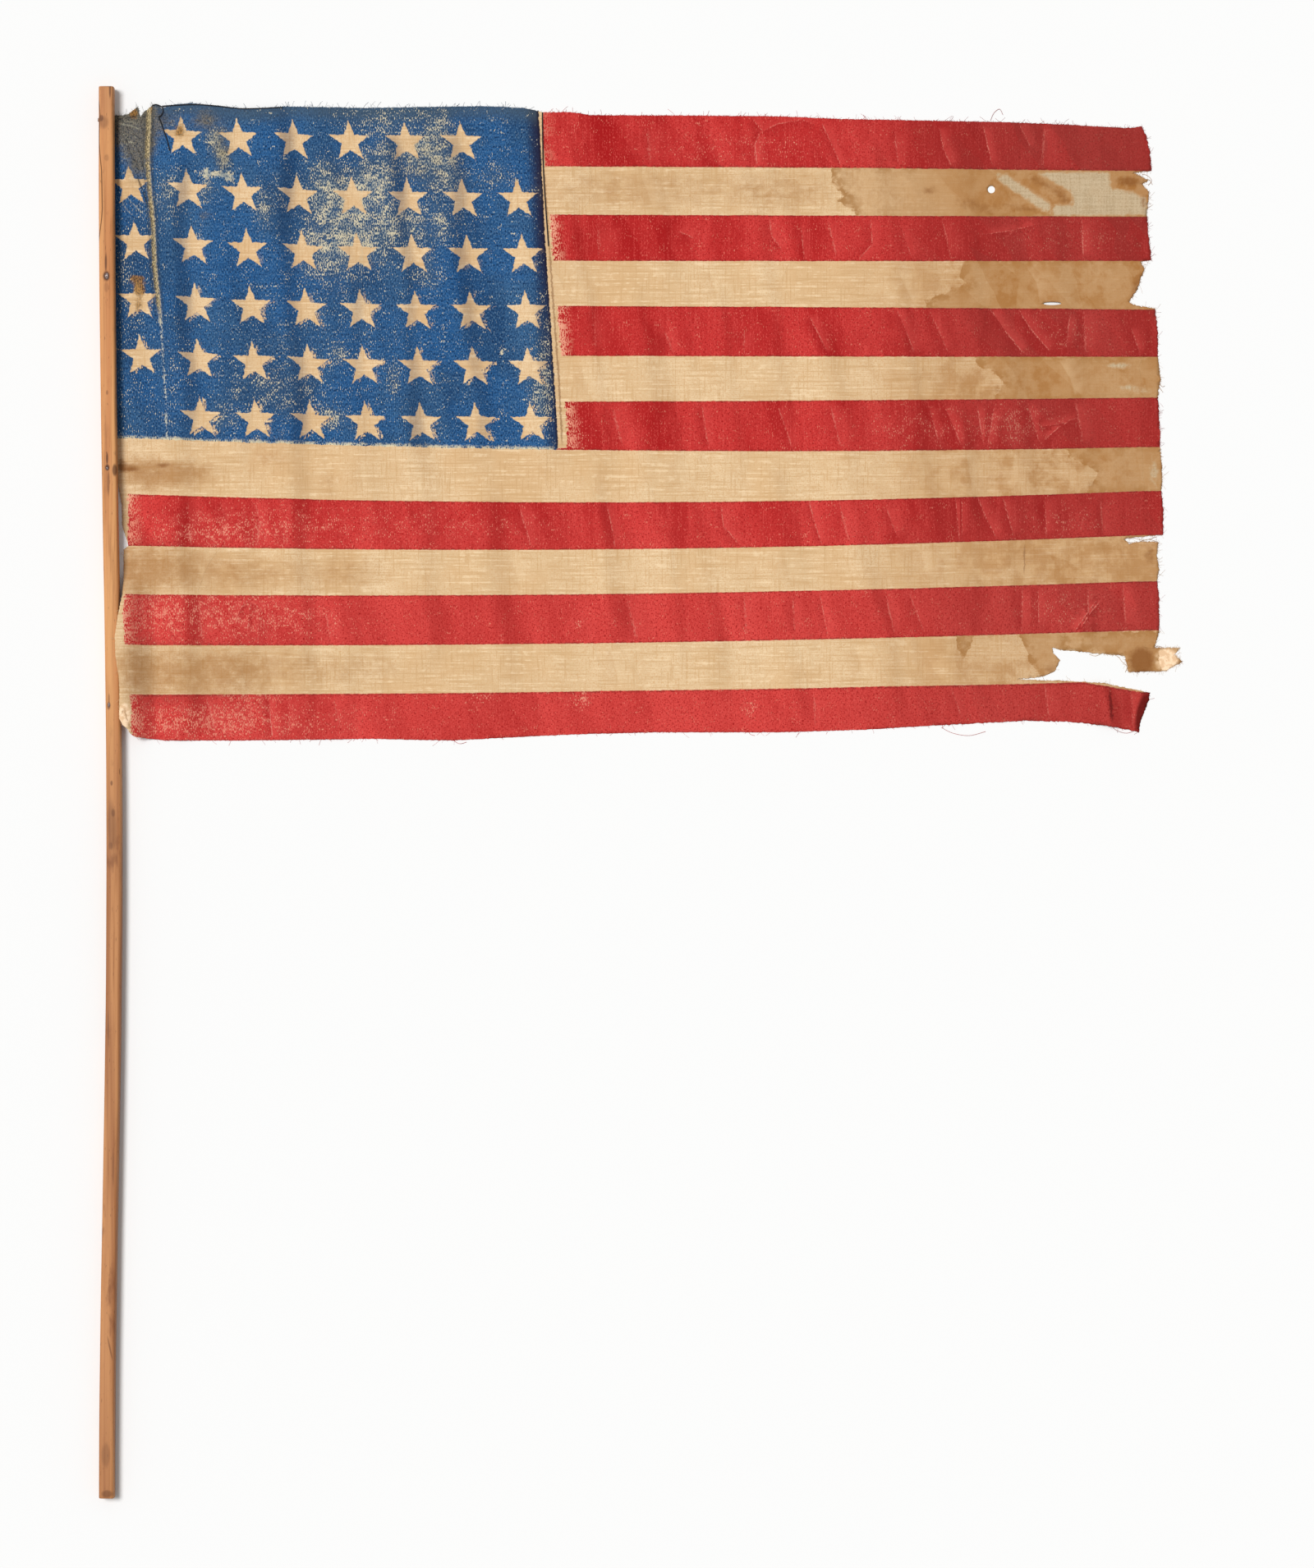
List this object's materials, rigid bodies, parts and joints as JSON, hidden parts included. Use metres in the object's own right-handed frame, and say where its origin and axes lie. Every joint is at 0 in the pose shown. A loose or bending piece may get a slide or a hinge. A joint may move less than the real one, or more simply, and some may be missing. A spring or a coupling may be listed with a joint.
{
  "type": "tattered flag on a wooden stick",
  "caption": "Worn printed-muslin parade flag with stars, stripes and a torn fly edge, tacked to a slightly bent square wooden stick and lying on its back in soft folds.",
  "frame": {"origin": "on the surface that the flag lies on, under the middle of the bounding box", "axes": "+X from the stick towards the fly, +Y along the stick towards its top end, +Z off the surface"},
  "size_m": [0.9379, 1.2192, 0.0162],
  "materials": {
    "printed_muslin": "matte, faded print",
    "aged_pine": "worn, satin",
    "rusty_steel": "rusted"
  },
  "bodies": {
    "root": {"flag_cloth": "printed_muslin", "stick": "aged_pine", "tack_1": "rusty_steel", "tack_2": "rusty_steel", "tack_3": "rusty_steel", "nail_top": "rusty_steel"}
  },
  "joints": []
}
